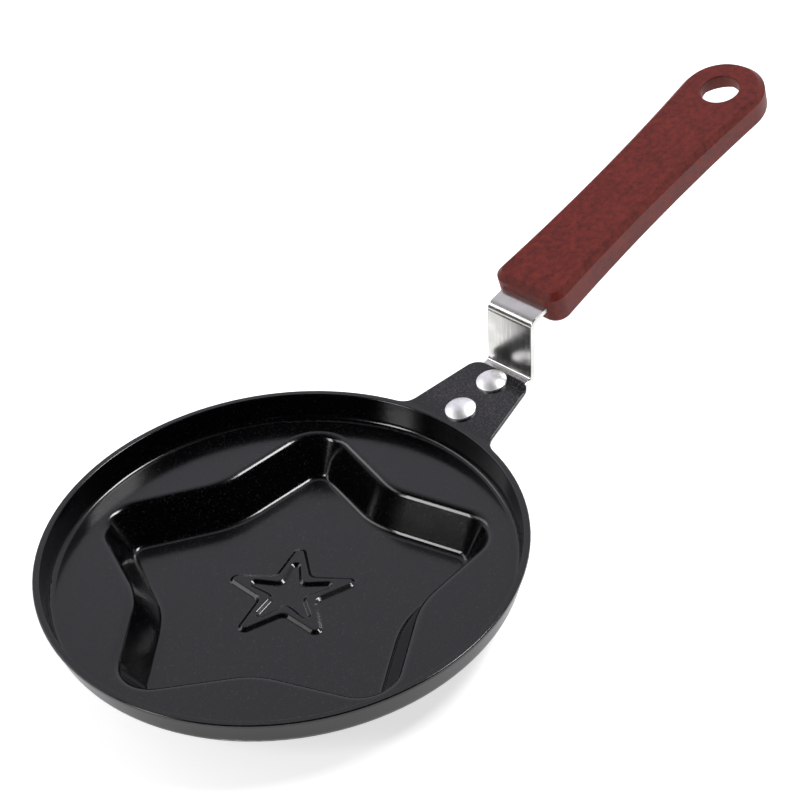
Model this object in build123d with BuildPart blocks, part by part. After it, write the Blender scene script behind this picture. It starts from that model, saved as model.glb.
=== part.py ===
from build123d import *
import math
import os

os.makedirs("parts", exist_ok=True)

# Mini frying pan with a star-shaped recess, a riveted steel bracket and a moulded grip.
# The origin is the middle of the underside that the pan stands on, on the pan's own axis.
# +Z is up and +X points along the handle. All sizes are in millimetres and degrees.

# Sheet steel pan
sheet = 0.8
pan_d = 120.0
wall_height = 7.3
wall_lean = 1.1
wall_foot_round = 1.5
lip_width = 1.7
lip_edge_round = 0.35
lip_inner_round = 0.4

# Star recess, measured on the coated side at the level of the plate
recess_depth = 9.8
recess_draft = 31.5
tip_land = 6.7
star_arm = 13.05
star_tip_round = 9.5
star_waist_round = 20.0
star_edge_round = 2.5
star_floor_round = 2.0
star_tips = 5

# Small star pressed up in the middle of the recess floor, as a ridge round a sunk star
ridge_height = 0.7
ridge_draft = 57.0
ridge_tip_r = 16.6
ridge_waist_r = 8.4
ridge_tip_round = 1.9
ridge_waist_round = 1.6
ridge_tip_band = 4.6
ridge_waist_band = 2.2
ridge_pocket_tip_round = 1.5
ridge_pocket_waist_round = 1.4
ridge_edge_round = 0.8

# Tab that carries the handle, in one with the lip and bent up from it
tab_root_w = 28.2
tab_end_w = 18.7
tab_corner = 4.0
tab_root_round = 5.0
tab_tilt = 8.3
tab_bend_from_wall = 0.8
tab_bend_r = 3.0

# Rivets, from the rim outwards along the tab
rivet_first = 4.0
rivet_pitch = 12.2
rivet_to_tab_end = 4.7
rivet_shank_d = 4.0
rivet_fit = 0.05
rivet_head_d = 8.0
rivet_head_h = 1.8
rivet_head_edge = 0.6
rivet_tail_d = 6.4
rivet_tail_h = 1.3
rivet_tail_edge = 0.5

# Bracket: one bent strip, from the flange under the tab to the tang inside the grip
strip_w = 15.1
strip_t = 1.5
strip_edge_round = 0.25
bend_r = 1.2
flange_clear = 0.8
flange_corner = 2.5
riser_gap = 2.1
riser_rise = 17.0
riser_lean = 3.6
strip_show = 5.8
tang_length = 31.0
tang_corner = 2.0
tang_hole_d = 5.0
tang_hole_from_end = 8.0

# Grip, measured along and square to the strip that it is moulded round
grip_tilt = 13.1
grip_side_length = 84.6
grip_front_w = 22.3
grip_waist_w = 20.4
grip_end_w = 24.0
grip_front_t = 9.0
grip_end_t = 7.5
grip_over_tang = 4.7
grip_front_round = 4.0
grip_top_bevel = 1.6
grip_foot_round = 0.8
grip_side_wall = 2.4
grip_top_wall = 3.4
grip_behind_tang = 5.0
grip_cavity_round = 2.0
tang_fit = 0.05
hang_hole_d = 10.6
hang_hole_from_end = 12.1
hang_hole_edge = 0.4

# Levels and radii that follow
pan_r = pan_d / 2
plate_top = sheet + recess_depth
plate_bottom = plate_top - sheet
rim_top = plate_top + wall_height
lip_bottom = rim_top - sheet
wall_top_r = pan_r - lip_width
wall_foot_r = wall_top_r - wall_lean
wall_width = sheet / math.cos(math.atan2(wall_lean, wall_height))
star_tip_r = wall_foot_r - tip_land
star_waist_r = star_tip_r - star_arm
rivet_hole_r = rivet_shank_d / 2 + rivet_fit

# Plane of the tab's top face, from the line where the tab bends up, with places measured along the tab
tab_bend_x = wall_top_r + tab_bend_from_wall
tab_dir = Vector(math.cos(math.radians(tab_tilt)), 0, math.sin(math.radians(tab_tilt)))
tab_plane = Plane(origin=(tab_bend_x, 0, rim_top), x_dir=tab_dir, z_dir=Vector(-tab_dir.Z, 0, tab_dir.X))
tab_up = Axis(tab_plane.origin, tab_plane.z_dir)
rim_at = pan_r - tab_bend_x
rivet_at = [rim_at + rivet_first, rim_at + rivet_first + rivet_pitch]
tab_end_at = rivet_at[1] + rivet_to_tab_end
tab_end = tab_plane.from_local_coords((tab_end_at, 0, 0))

# How far a cut runs past the face that it opens
over = 5.0


def sheet_step(draft):
    """How far the sheet's two faces stand apart, sideways, where a drafted wall meets a flat."""
    angle = math.radians(draft)
    return sheet * (1 / math.cos(angle) - math.tan(angle))


recess_step = sheet_step(recess_draft)
ridge_step = sheet_step(ridge_draft)
ridge_slope = ridge_height * math.tan(math.radians(ridge_draft))
pocket_tip_r = ridge_tip_r - ridge_slope - ridge_tip_band
pocket_waist_r = ridge_waist_r - ridge_slope - ridge_waist_band


def star(tip_r, waist_r, tip_round, waist_round, grow=0.0):
    """A star with rounded tips and waists at the two given radii, grown evenly all round."""
    tip_r += grow
    waist_r += grow
    tip_round += grow
    waist_round -= grow
    step = math.pi / star_tips
    tip_c = tip_r - tip_round
    waist_c = waist_r + waist_round
    # The straight flank from a tip arc to the next waist arc is tangent to both
    gap_x = waist_c * math.cos(step) - tip_c
    gap_y = waist_c * math.sin(step)
    reach = math.hypot(gap_x, gap_y)
    turn = math.atan2(gap_y, gap_x) - math.acos((tip_round + waist_round) / reach)
    toward = Vector(math.cos(turn), math.sin(turn))
    middle = Vector(math.cos(step), math.sin(step))
    tip_end = Vector(tip_c, 0) + toward * tip_round
    waist_start = middle * waist_c - toward * waist_round
    half = 180.0 / star_tips
    with BuildSketch() as outline:
        with BuildLine():
            for k in range(star_tips):
                around = 180.0 + 2 * k * half
                tip_start = Vector(tip_end.X, -tip_end.Y).rotate(Axis.Z, around)
                tip_mid = Vector(tip_r, 0).rotate(Axis.Z, around)
                flank_start = tip_end.rotate(Axis.Z, around)
                flank_end = waist_start.rotate(Axis.Z, around)
                waist_mid = (middle * waist_r).rotate(Axis.Z, around)
                mirrored = waist_start.rotate(Axis.Z, -half)
                waist_end = Vector(mirrored.X, -mirrored.Y).rotate(Axis.Z, around + half)
                next_tip = Vector(tip_end.X, -tip_end.Y).rotate(Axis.Z, around + 2 * half)
                ThreePointArc(tip_start, tip_mid, flank_start)
                Line(flank_start, flank_end)
                ThreePointArc(flank_end, waist_mid, waist_end)
                Line(waist_end, next_tip)
        make_face()
    return outline.sketch


# Outside of the pan: plate and wall as one solid, with the underside of the recess
with BuildPart() as pan_outside:
    with BuildSketch(Plane.XZ):
        with BuildLine():
            Polyline(
                (0, plate_bottom),
                (wall_foot_r + wall_width, plate_bottom),
                (wall_top_r + wall_width, lip_bottom),
                (0, lip_bottom),
                close=True,
            )
        make_face()
    revolve(axis=Axis.Z)
    fillet(edges().group_by(Axis.Z)[0], wall_foot_round + sheet)
    with BuildSketch(Plane.XY.offset(plate_bottom)):
        add(star(star_tip_r, star_waist_r, star_tip_round, star_waist_round, recess_step))
    extrude(amount=-recess_depth, taper=recess_draft)
    fillet(edges().group_by(Axis.Z)[0], star_floor_round + sheet)
    # The bend between plate and recess, seen from below
    flats = faces().filter_by(Plane.XY)
    plate_face = [f for f in flats if abs(f.center().Z - plate_bottom) < sheet / 2][0]
    fillet(plate_face.inner_wires()[0].edges(), star_edge_round - sheet)
    # Groove under the small star's ridge, and the sunk star inside it
    with BuildSketch():
        add(star(ridge_tip_r, ridge_waist_r, ridge_tip_round, ridge_waist_round, -ridge_step))
    extrude(amount=ridge_height, taper=ridge_draft, mode=Mode.SUBTRACT)
    with BuildSketch(Plane.XY.offset(ridge_height)):
        add(star(
            pocket_tip_r, pocket_waist_r, ridge_pocket_tip_round, ridge_pocket_waist_round, ridge_step
        ))
    extrude(amount=-ridge_height, taper=ridge_draft)

# Coated inside of the pan, as the space that the sheet goes round
with BuildPart() as pan_inside:
    with BuildSketch(Plane.XZ):
        with BuildLine():
            Polyline(
                (0, plate_top),
                (wall_foot_r, plate_top),
                (wall_top_r, rim_top),
                (wall_top_r, rim_top + over),
                (0, rim_top + over),
                close=True,
            )
        make_face()
    revolve(axis=Axis.Z)
    fillet(edges().group_by(Axis.Z)[0], wall_foot_round)
    with BuildSketch(Plane.XY.offset(plate_top)):
        add(star(star_tip_r, star_waist_r, star_tip_round, star_waist_round))
    extrude(amount=-recess_depth, taper=recess_draft)
    fillet(edges().group_by(Axis.Z)[0], star_floor_round)
    flats = faces().filter_by(Plane.XY)
    plate_face = [f for f in flats if abs(f.center().Z - plate_top) < sheet / 2][0]
    fillet(plate_face.inner_wires()[0].edges(), star_edge_round)
    with BuildSketch(Plane.XY.offset(sheet)):
        add(star(ridge_tip_r, ridge_waist_r, ridge_tip_round, ridge_waist_round))
    extrude(amount=ridge_height, taper=ridge_draft, mode=Mode.SUBTRACT)
    with BuildSketch(Plane.XY.offset(sheet + ridge_height)):
        add(star(pocket_tip_r, pocket_waist_r, ridge_pocket_tip_round, ridge_pocket_waist_round))
    extrude(amount=-ridge_height, taper=ridge_draft)
    ridge_top = edges().filter_by_position(Axis.Z, sheet + ridge_height, sheet + ridge_height)
    ridge_foot = edges().filter_by_position(Axis.Z, sheet, sheet)
    fillet(ridge_top + ridge_foot, ridge_edge_round)

# Lip and tab, one outline with softened top edges that follows the sheet's bend at the tab
past_tab_top = tab_plane.from_local_coords((tab_end_at + over, 0, 0))
past_tab_bottom = tab_plane.from_local_coords((tab_end_at + over, 0, -sheet))
with BuildPart() as lip_and_tab:
    with BuildSketch():
        Circle(pan_r)
        with BuildLine():
            Polyline(
                (0, tab_root_w / 2),
                (math.sqrt(pan_r**2 - tab_root_w**2 / 4), tab_root_w / 2),
                (tab_end.X, tab_end_w / 2),
                (tab_end.X, -tab_end_w / 2),
                (math.sqrt(pan_r**2 - tab_root_w**2 / 4), -tab_root_w / 2),
                (0, -tab_root_w / 2),
                close=True,
            )
        make_face()
        fillet(vertices().group_by(Axis.X)[-1], tab_corner)
        fillet(vertices().group_by(Axis.X)[0], tab_root_round)
    extrude(amount=past_tab_top.Z)
    with BuildSketch(Plane.XZ):
        with BuildLine():
            Polyline(
                (-pan_r - over, lip_bottom),
                (tab_bend_x + sheet * math.tan(math.radians(tab_tilt / 2)), lip_bottom),
                (past_tab_bottom.X, past_tab_bottom.Z),
                (past_tab_top.X, past_tab_top.Z),
                (tab_bend_x, rim_top),
                (-pan_r - over, rim_top),
                close=True,
            )
        make_face()
        fillet(vertices().filter_by(lambda corner: abs(corner.X - tab_bend_x) < sheet), tab_bend_r)
    extrude(amount=pan_r + over, both=True, mode=Mode.INTERSECT)
    tops = faces().filter_by(lambda face: face.normal_at().Z > tab_dir.X / 2)
    sides = faces().filter_by(lambda face: abs(face.normal_at().Z) < tab_dir.X / 2)
    fillet([edge for edge in tops.edges() if edge in sides.edges()], lip_edge_round)

# Pan: one pressed sheet with its recess, wall, lip and tab
with BuildPart() as pan_body:
    add(pan_outside.part)
    add(lip_and_tab.part)
    add(pan_inside.part, mode=Mode.SUBTRACT)
    lip_face = faces().filter_by(Plane.XY).sort_by(Axis.Z)[-1]
    fillet(lip_face.inner_wires()[0].edges(), lip_inner_round)
    for at in rivet_at:
        with Locations(tab_plane * Location((at, 0))):
            Hole(rivet_hole_r, depth=2 * sheet)
pan_body.part.label = "pan_body"
export_step(pan_body.part, "parts/pan_body.step")

# Line of the bracket through the middle of the strip: flange, riser, then up into the grip
flange_plane = tab_plane.offset(-sheet - strip_t / 2)
flange_start = flange_plane.from_local_coords((rim_at + flange_clear, 0, 0))
riser_foot = flange_plane.from_local_coords((tab_end_at + riser_gap + strip_t / 2, 0, 0))
riser_top = riser_foot + Vector(riser_rise * math.tan(math.radians(riser_lean)), 0, riser_rise)
grip_dir = Vector(math.cos(math.radians(grip_tilt)), 0, math.sin(math.radians(grip_tilt)))
grip_start = riser_top + grip_dir * strip_show
tang_end = grip_start + grip_dir * tang_length
# Plane in the middle of the tang, from the grip's front face along the grip
grip_plane = Plane(origin=grip_start, x_dir=grip_dir, z_dir=Vector(-grip_dir.Z, 0, grip_dir.X))
grip_up = Axis(grip_plane.origin, grip_plane.z_dir)

# Handle bracket: flat strip bent twice, with two rivet holes and one hole that the grip flows through
with BuildPart() as handle_bracket:
    with BuildLine() as strip_line:
        FilletPolyline(flange_start, riser_foot, riser_top, tang_end, radius=bend_r + strip_t / 2)
    with BuildSketch(Plane(origin=flange_start, x_dir=(0, 1, 0), z_dir=tab_dir)):
        Rectangle(strip_w, strip_t)
    sweep()
    fillet(edges().filter_by(tab_up).group_by(Axis.X)[0], flange_corner)
    fillet(edges().filter_by(grip_up).group_by(Axis.X)[-1], tang_corner)
    fillet(edges().filter_by(Axis.Y, reverse=True), strip_edge_round)
    for at in rivet_at:
        with Locations(flange_plane * Location((at, 0, strip_t))):
            Hole(rivet_hole_r, depth=2 * strip_t)
    with Locations(grip_plane.offset(strip_t) * Location((tang_length - tang_hole_from_end, 0))):
        Hole(tang_hole_d / 2, depth=2 * strip_t)
handle_bracket.part.label = "handle_bracket"
export_step(handle_bracket.part, "parts/handle_bracket.step")

# Rivets: a domed head on the tab, a shank, and a flatter upset tail under the flange
head_r = rivet_head_d / 2
tail_r = rivet_tail_d / 2
shank_r = rivet_shank_d / 2
tail_top = -sheet - strip_t
tail_bottom = tail_top - rivet_tail_h
dome_rise = rivet_head_h - rivet_head_edge
dome_r = (head_r**2 + dome_rise**2) / (2 * dome_rise)
dome_turn = math.asin(head_r / dome_r) / 2
dome_middle = (dome_r * math.sin(dome_turn), rivet_head_h - dome_r * (1 - math.cos(dome_turn)))

for name, at in zip(["rivet_inner", "rivet_outer"], rivet_at):
    seat = tab_plane.from_local_coords((at, 0, 0))
    with BuildPart() as rivet:
        with BuildSketch(Plane(origin=seat, x_dir=tab_dir, z_dir=(0, -1, 0))):
            with BuildLine():
                Polyline(
                    (0, rivet_head_h),
                    (0, tail_bottom),
                    (tail_r, tail_bottom),
                    (tail_r, tail_top),
                    (shank_r, tail_top),
                    (shank_r, 0),
                    (head_r, 0),
                    (head_r, rivet_head_edge),
                )
                ThreePointArc((head_r, rivet_head_edge), dome_middle, (0, rivet_head_h))
            make_face()
        revolve(axis=Axis(seat, tab_plane.z_dir))
        fillet(edges().group_by(tab_up)[0], rivet_tail_edge)
    rivet.part.label = name
    export_step(rivet.part, f"parts/{name}.step")


def grip_plan():
    """Plan of the grip from its front face: waisted sides, and a round end tangent to both."""
    front = (0, grip_front_w / 2)
    waist = (grip_side_length / 2, grip_waist_w / 2)
    end = (grip_side_length, grip_end_w / 2)
    with BuildSketch() as plan:
        with BuildLine():
            side = ThreePointArc(front, waist, end)
            round_end = TangentArc(end, (end[0], -end[1]), tangent=side % 1)
            other_side = ThreePointArc(round_end @ 1, (waist[0], -waist[1]), (front[0], -front[1]))
            Line(other_side @ 1, front)
        make_face()
        fillet(vertices().group_by(Axis.X)[0], grip_front_round)
    return plan.sketch


# Handle grip: moulded round the tang, solid in front and hollow from below behind it
grip_length = grip_plan().bounding_box().max.X
foot_turn = math.degrees(math.atan2(grip_end_t - grip_front_t, grip_length))
foot_plane = grip_plane.offset(grip_over_tang - grip_front_t).rotated((0, foot_turn, 0))
cavity_at = tang_length + grip_behind_tang
thickest = max(grip_front_t, grip_end_t)
with BuildPart() as handle_grip:
    with BuildSketch(grip_plane.offset(grip_over_tang)):
        add(grip_plan())
    extrude(amount=-(thickest + over))
    split(bisect_by=foot_plane, keep=Keep.TOP)
    chamfer(faces().sort_by(grip_up)[-1].edges(), grip_top_bevel)
    fillet(faces().sort_by(grip_up)[0].edges(), grip_foot_round)
    with BuildSketch(grip_plane.offset(grip_over_tang - grip_top_wall)):
        add(grip_plan())
        offset(amount=-grip_side_wall)
        with Locations((cavity_at + grip_length / 2, 0)):
            Rectangle(grip_length, grip_front_w + grip_end_w, mode=Mode.INTERSECT)
        fillet(vertices().group_by(Axis.X)[0], grip_cavity_round)
    extrude(amount=-(thickest + over), mode=Mode.SUBTRACT)
    # Room for the tang, with the plug of grip material that fills its hole
    with BuildSketch(grip_plane.offset(-strip_t / 2 - tang_fit)):
        with Locations((tang_length / 2 - over / 2, 0)):
            Rectangle(tang_length + over + 2 * tang_fit, strip_w + 2 * tang_fit)
        fillet(vertices().group_by(Axis.X)[-1], tang_corner + tang_fit)
        with Locations((tang_length - tang_hole_from_end, 0)):
            Circle(tang_hole_d / 2 - tang_fit, mode=Mode.SUBTRACT)
    extrude(amount=strip_t + 2 * tang_fit, mode=Mode.SUBTRACT)
    with Locations(grip_plane.offset(grip_over_tang) * Location((grip_length - hang_hole_from_end, 0))):
        Hole(hang_hole_d / 2, depth=thickest + over)
    fillet(faces().sort_by(grip_up)[-1].inner_wires()[0].edges(), hang_hole_edge)
handle_grip.part.label = "handle_grip"
export_step(handle_grip.part, "parts/handle_grip.step")
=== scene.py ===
import math

import bpy
from mathutils import Matrix, Vector

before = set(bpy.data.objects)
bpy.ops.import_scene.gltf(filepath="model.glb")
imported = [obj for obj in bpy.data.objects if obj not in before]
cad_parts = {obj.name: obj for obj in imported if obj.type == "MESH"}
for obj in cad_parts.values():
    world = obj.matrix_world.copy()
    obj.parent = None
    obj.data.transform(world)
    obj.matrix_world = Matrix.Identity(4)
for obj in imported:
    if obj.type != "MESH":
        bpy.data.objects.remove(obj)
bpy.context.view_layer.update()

# Pan: one stamping of thin carbon steel sheet, pressed in one go to plate, star recess, small star,
# wall, lip and tab, then sprayed with a black non-stick coating and baked. It carries all the rest.


def linear(hex_colour):
    """An sRGB hex colour as linear RGBA."""
    channels = [int(hex_colour[i:i + 2], 16) / 255 for i in (1, 3, 5)]
    return [c / 12.92 if c <= 0.04045 else ((c + 0.055) / 1.055) ** 2.4 for c in channels] + [1.0]


def add_node(tree, kind, settings=None, links=None):
    """Adds a node, sets its properties and socket values, and links the given sockets to its inputs."""
    node = tree.nodes.new(kind)
    for key, value in (settings or {}).items():
        if isinstance(key, str) and hasattr(node, key):
            setattr(node, key, value)
        else:
            node.inputs[key].default_value = value
    for key, socket in (links or {}).items():
        tree.links.new(socket, node.inputs[key])
    return node


def per_metre(size_mm):
    """Noise scale whose features are about the given size across."""
    return 1000.0 / size_mm


def new_material(name):
    """A node material with nothing in it yet, and its node tree."""
    material = bpy.data.materials.new(name)
    material.use_nodes = True
    material.node_tree.nodes.clear()
    return material, material.node_tree


def put_on(node_name, material):
    """Gives a CAD node its one material."""
    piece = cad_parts[node_name]
    piece.data.materials.clear()
    piece.data.materials.append(material)


def baked_non_stick_coating():
    """Black PTFE coating, sprayed on steel and baked: a dark gloss with a faint orange peel and
    fine pale flecks, which makes a dim mirror of the room and hides the steel's colour."""
    material, tree = new_material("baked_non_stick_coating")
    place = add_node(tree, "ShaderNodeTexCoord")
    # Orange peel is 1 to 2 mm across on a real coat; flecks are drawn at 0.5 mm so that they show
    peel = add_node(
        tree, "ShaderNodeTexNoise", {"Scale": per_metre(1.6), "Detail": 2.0},
        {"Vector": place.outputs["Object"]},
    )
    grit = add_node(
        tree, "ShaderNodeTexNoise", {"Scale": per_metre(0.5), "Detail": 3.0, "Roughness": 0.6},
        {"Vector": place.outputs["Object"]},
    )
    cloud = add_node(
        tree, "ShaderNodeTexNoise", {"Scale": per_metre(14.0), "Detail": 3.0},
        {"Vector": place.outputs["Object"]},
    )
    # The spray lands drier beyond the rim, so the tab is paler and more speckled than the pan.
    # The change starts just inside the rim and is complete a few millimetres along the tab
    dry_from_x = 0.057
    dry_to_x = 0.066
    along_handle = add_node(tree, "ShaderNodeSeparateXYZ", {}, {"Vector": place.outputs["Object"]})
    dry = add_node(
        tree, "ShaderNodeMapRange",
        {"From Min": dry_from_x, "From Max": dry_to_x, "To Min": 0.0, "To Max": 0.14},
        {"Value": along_handle.outputs["X"]},
    )
    spray = add_node(
        tree, "ShaderNodeMath", {"operation": "ADD"}, {0: grit.outputs["Fac"], 1: dry.outputs["Result"]}
    )
    flecks = add_node(tree, "ShaderNodeValToRGB", {}, {"Fac": spray.outputs["Value"]})
    flecks.color_ramp.elements[0].position = 0.58
    flecks.color_ramp.elements[0].color = linear("#040405")
    flecks.color_ramp.elements[1].position = 0.84
    flecks.color_ramp.elements[1].color = linear("#3c3a3e")
    gloss = add_node(
        tree, "ShaderNodeMapRange",
        {"From Min": 0.3, "From Max": 0.7, "To Min": 0.13, "To Max": 0.18},
        {"Value": cloud.outputs["Fac"]},
    )
    grit_height = 0.25
    heights = add_node(
        tree, "ShaderNodeMath", {"operation": "MULTIPLY_ADD", 1: grit_height},
        {0: grit.outputs["Fac"], 2: peel.outputs["Fac"]},
    )
    bump = add_node(
        tree, "ShaderNodeBump", {"Strength": 0.10, "Distance": 0.0001},
        {"Height": heights.outputs["Value"]},
    )
    shader = add_node(
        tree, "ShaderNodeBsdfPrincipled", {"IOR": 1.5},
        {
            "Base Color": flecks.outputs["Color"],
            "Roughness": gloss.outputs["Result"],
            "Normal": bump.outputs["Normal"],
        },
    )
    add_node(tree, "ShaderNodeOutputMaterial", {}, {"Surface": shader.outputs["BSDF"]})
    return material


put_on("pan_body", baked_non_stick_coating())

# Bracket: one strip of carbon steel, punched, bent twice and then plated. Its flange is riveted
# under the tab, and its other end is the tang that the grip is moulded round.


def bright_plated_steel():
    """Thin bright plate over rolled strip: a clear mirror, softened along the strip by faint
    rolling lines and broken by slight waviness from the bends."""
    material, tree = new_material("bright_plated_steel")
    place = add_node(tree, "ShaderNodeTexCoord")
    # Rolling lines run along the strip, about 0.3 mm apart and 12 mm long
    along = add_node(
        tree, "ShaderNodeMapping", {"Scale": (per_metre(12.0), per_metre(0.3), per_metre(12.0))},
        {"Vector": place.outputs["Object"]},
    )
    lines = add_node(
        tree, "ShaderNodeTexNoise", {"Scale": 1.0, "Detail": 3.0}, {"Vector": along.outputs["Vector"]}
    )
    waves = add_node(
        tree, "ShaderNodeTexNoise", {"Scale": per_metre(6.0), "Detail": 2.0},
        {"Vector": place.outputs["Object"]},
    )
    gloss = add_node(
        tree, "ShaderNodeMapRange",
        {"From Min": 0.3, "From Max": 0.7, "To Min": 0.14, "To Max": 0.26},
        {"Value": lines.outputs["Fac"]},
    )
    tint = add_node(tree, "ShaderNodeValToRGB", {}, {"Fac": waves.outputs["Fac"]})
    tint.color_ramp.elements[0].position = 0.35
    tint.color_ramp.elements[0].color = linear("#c9cac4")
    tint.color_ramp.elements[1].position = 0.65
    tint.color_ramp.elements[1].color = linear("#dcdad9")
    line_height = 0.15
    heights = add_node(
        tree, "ShaderNodeMath", {"operation": "MULTIPLY_ADD", 1: line_height},
        {0: lines.outputs["Fac"], 2: waves.outputs["Fac"]},
    )
    bump = add_node(
        tree, "ShaderNodeBump", {"Strength": 0.2, "Distance": 0.0001},
        {"Height": heights.outputs["Value"]},
    )
    shader = add_node(
        tree, "ShaderNodeBsdfPrincipled", {"Metallic": 1.0},
        {
            "Base Color": tint.outputs["Color"],
            "Roughness": gloss.outputs["Result"],
            "Normal": bump.outputs["Normal"],
        },
    )
    add_node(tree, "ShaderNodeOutputMaterial", {}, {"Surface": shader.outputs["BSDF"]})
    return material


put_on("handle_bracket", bright_plated_steel())

# Rivets: two aluminium rivets through tab and flange. Their round heads sit on the coated side,
# and their tails are pressed flat against the bracket.


def bare_aluminium():
    """Cold-headed aluminium with no finish: whitish, softly shiny, with a fine dull grain and a
    few shallow marks from the rivet set."""
    material, tree = new_material("bare_aluminium")
    place = add_node(tree, "ShaderNodeTexCoord")
    # The grain is about 0.3 mm across and the marks of the set about 2 mm
    grain = add_node(
        tree, "ShaderNodeTexNoise", {"Scale": per_metre(0.3), "Detail": 2.0},
        {"Vector": place.outputs["Object"]},
    )
    marks = add_node(
        tree, "ShaderNodeTexNoise", {"Scale": per_metre(2.0), "Detail": 1.0},
        {"Vector": place.outputs["Object"]},
    )
    tint = add_node(tree, "ShaderNodeValToRGB", {}, {"Fac": marks.outputs["Fac"]})
    tint.color_ramp.elements[0].position = 0.3
    tint.color_ramp.elements[0].color = linear("#ececee")
    tint.color_ramp.elements[1].position = 0.6
    tint.color_ramp.elements[1].color = linear("#fafafa")
    gloss = add_node(
        tree, "ShaderNodeMapRange",
        {"From Min": 0.3, "From Max": 0.7, "To Min": 0.36, "To Max": 0.50},
        {"Value": grain.outputs["Fac"]},
    )
    bump = add_node(
        tree, "ShaderNodeBump", {"Strength": 0.25, "Distance": 0.0001}, {"Height": marks.outputs["Fac"]}
    )
    shader = add_node(
        tree, "ShaderNodeBsdfPrincipled", {"Metallic": 1.0},
        {
            "Base Color": tint.outputs["Color"],
            "Roughness": gloss.outputs["Result"],
            "Normal": bump.outputs["Normal"],
        },
    )
    add_node(tree, "ShaderNodeOutputMaterial", {}, {"Surface": shader.outputs["BSDF"]})
    return material


rivet_metal = bare_aluminium()
for rivet_name in ("rivet_inner", "rivet_outer"):
    put_on(rivet_name, rivet_metal)

# Grip: phenolic compound moulded straight round the tang, solid in front and hollow from below
# behind it. Its wood-brown colour is in the compound, and the hang hole is moulded with it.


def moulded_phenolic():
    """Red-brown phenolic with wood flour in it, from a satin mould: deep colour that goes
    blotchy like stained wood, a soft sheen, and fine pits."""
    material, tree = new_material("moulded_phenolic")
    place = add_node(tree, "ShaderNodeTexCoord")
    # Flow streaks lie along the grip, about 14 mm long and 3 mm wide; blotches are 1.6 mm across
    flow = add_node(
        tree, "ShaderNodeMapping", {"Scale": (per_metre(14.0), per_metre(3.0), per_metre(6.0))},
        {"Vector": place.outputs["Object"]},
    )
    streaks = add_node(
        tree, "ShaderNodeTexNoise", {"Scale": 1.0, "Detail": 4.0, "Roughness": 0.6},
        {"Vector": flow.outputs["Vector"]},
    )
    blotches = add_node(
        tree, "ShaderNodeTexNoise", {"Scale": per_metre(1.6), "Detail": 4.0, "Roughness": 0.65},
        {"Vector": place.outputs["Object"]},
    )
    pits = add_node(
        tree, "ShaderNodeTexNoise", {"Scale": per_metre(0.4), "Detail": 2.0},
        {"Vector": place.outputs["Object"]},
    )
    streak_share = 0.35
    mottle = add_node(
        tree, "ShaderNodeMath", {"operation": "MULTIPLY_ADD", 1: streak_share},
        {0: streaks.outputs["Fac"], 2: blotches.outputs["Fac"]},
    )
    colour = add_node(tree, "ShaderNodeValToRGB", {}, {"Fac": mottle.outputs["Value"]})
    colour.color_ramp.elements[0].position = 0.48
    colour.color_ramp.elements[0].color = linear("#4e0f0b")
    colour.color_ramp.elements[1].position = 0.86
    colour.color_ramp.elements[1].color = linear("#742419")
    gloss = add_node(
        tree, "ShaderNodeMapRange",
        {"From Min": 0.3, "From Max": 0.7, "To Min": 0.46, "To Max": 0.58},
        {"Value": blotches.outputs["Fac"]},
    )
    bump = add_node(
        tree, "ShaderNodeBump", {"Strength": 0.2, "Distance": 0.0001}, {"Height": pits.outputs["Fac"]}
    )
    shader = add_node(
        tree, "ShaderNodeBsdfPrincipled", {"IOR": 1.55, "Specular IOR Level": 0.25},
        {
            "Base Color": colour.outputs["Color"],
            "Roughness": gloss.outputs["Result"],
            "Normal": bump.outputs["Normal"],
        },
    )
    add_node(tree, "ShaderNodeOutputMaterial", {}, {"Surface": shader.outputs["BSDF"]})
    return material


put_on("handle_grip", moulded_phenolic())

# Floor: a plain sheet of white studio paper. Its glow stands for the lamps that light the paper
# alone, so that it looks white in the picture and keeps only a faint shadow of the pan.
floor_side = 12.0
bpy.ops.object.select_all(action="DESELECT")
bpy.ops.mesh.primitive_plane_add(size=floor_side, location=(0, 0, 0))
floor = bpy.context.object
floor.name = "floor"
paper, paper_tree = new_material("white_studio_paper")
paper_shader = add_node(
    paper_tree, "ShaderNodeBsdfPrincipled",
    {
        "Base Color": linear("#e8e8e8"),
        "Roughness": 0.9,
        "Specular IOR Level": 0.0,
        "Emission Color": (1.0, 1.0, 1.0, 1.0),
        "Emission Strength": 0.68,
    },
)
add_node(paper_tree, "ShaderNodeOutputMaterial", {}, {"Surface": paper_shader.outputs["BSDF"]})
floor.data.materials.append(paper)

# Camera: a long lens at the photograph's viewing angle, looking down along the handle, with the
# slight roll that the photograph has. Angles are in degrees and the place is in metres.
camera_place = Vector((-0.22655, -0.29801, 0.34065))
camera_heading = 47.824
camera_tilt_down = 37.290
camera_roll = 6.271
camera_lens = 92.22
camera_sensor = 36.0


def direction(heading, height):
    """Unit vector towards a compass angle from +X and an angle above the floor, in degrees."""
    heading, height = math.radians(heading), math.radians(height)
    level = math.cos(height)
    return Vector((math.cos(heading) * level, math.sin(heading) * level, math.sin(height)))


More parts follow.
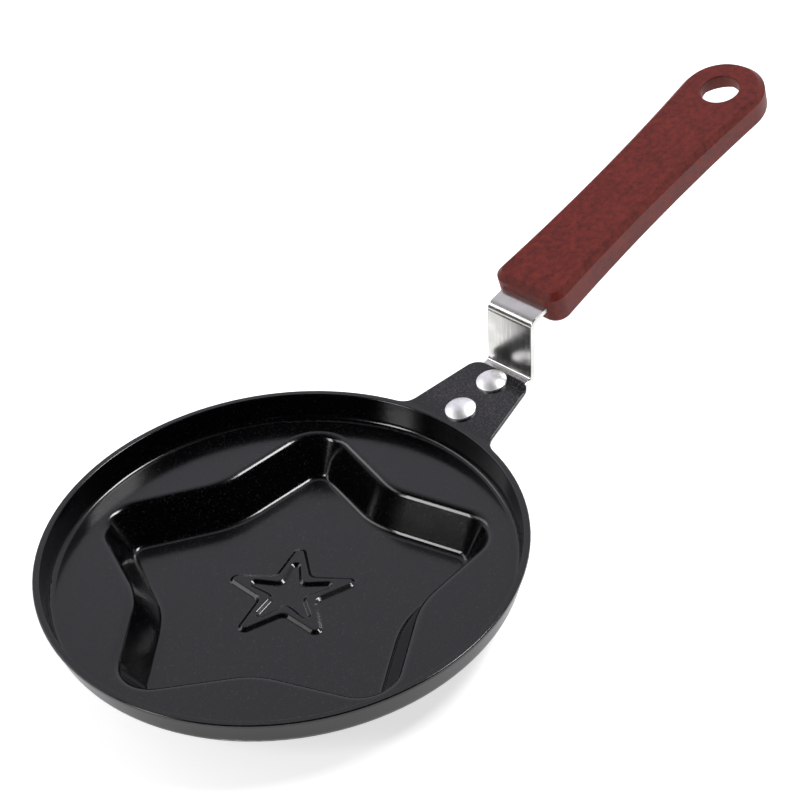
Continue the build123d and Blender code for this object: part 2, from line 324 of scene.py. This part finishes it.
forward = direction(camera_heading, -camera_tilt_down)
level_right = forward.cross(Vector((0, 0, 1))).normalized()
level_down = forward.cross(level_right)
roll = math.radians(camera_roll)
right = level_right * math.cos(roll) + level_down * math.sin(roll)
up = right.cross(forward)
camera_data = bpy.data.cameras.new("camera")
camera_data.lens = camera_lens
camera_data.sensor_width = camera_sensor
camera_data.clip_start = 0.01
camera = bpy.data.objects.new("camera", camera_data)
camera_axes = Matrix((right, up, -forward)).transposed().to_4x4()
camera.matrix_world = Matrix.Translation(camera_place) @ camera_axes
scene = bpy.context.scene
scene.collection.objects.link(camera)
scene.camera = camera
scene.view_settings.view_transform = "Standard"

# Lights: a pale far wall that the plate mirrors, a dark side behind the camera that the recess
# walls mirror, and softboxes whose reflections are the bright lines along the pressed edges.
light_distance = 1.2


def softbox(name, heading, height, width, depth, radiance):
    """A soft area light at a direction from the pan, with its size in metres and its brightness."""
    data = bpy.data.lights.new(name, "AREA")
    data.shape = "RECTANGLE"
    data.size, data.size_y = width, depth
    data.energy = radiance * math.pi * width * depth
    lamp = bpy.data.objects.new(name, data)
    lamp.location = direction(heading, height) * light_distance
    lamp.rotation_euler = lamp.location.to_track_quat("Z", "Y").to_euler()
    scene.collection.objects.link(lamp)


softbox("left_softbox", heading=118.0, height=38.0, width=1.00, depth=0.30, radiance=2.8)
softbox("left_strip", heading=165.0, height=33.0, width=0.26, depth=0.50, radiance=12.0)
softbox("right_softbox", heading=-27.0, height=57.0, width=0.50, depth=0.26, radiance=22.0)

# The room's light grows from black behind the camera to the pale wall beyond the pan
world = bpy.data.worlds.new("studio")
scene.world = world
world.use_nodes = True
sky = world.node_tree
sky.nodes.clear()
sky_place = add_node(sky, "ShaderNodeTexCoord")
far_side = add_node(
    sky, "ShaderNodeVectorMath",
    {"operation": "DOT_PRODUCT", 1: direction(camera_heading, 0.0)},
    {0: sky_place.outputs["Generated"]},
)
wall_light = add_node(
    sky, "ShaderNodeMapRange",
    {"From Min": 0.0, "From Max": 0.6, "To Min": 0.0, "To Max": 0.78},
    {"Value": far_side.outputs["Value"]},
)
sky_light = add_node(
    sky, "ShaderNodeBackground", {"Color": (0.98, 0.95, 1.05, 1.0)},
    {"Strength": wall_light.outputs["Result"]},
)
add_node(sky, "ShaderNodeOutputWorld", {}, {"Surface": sky_light.outputs["Background"]})
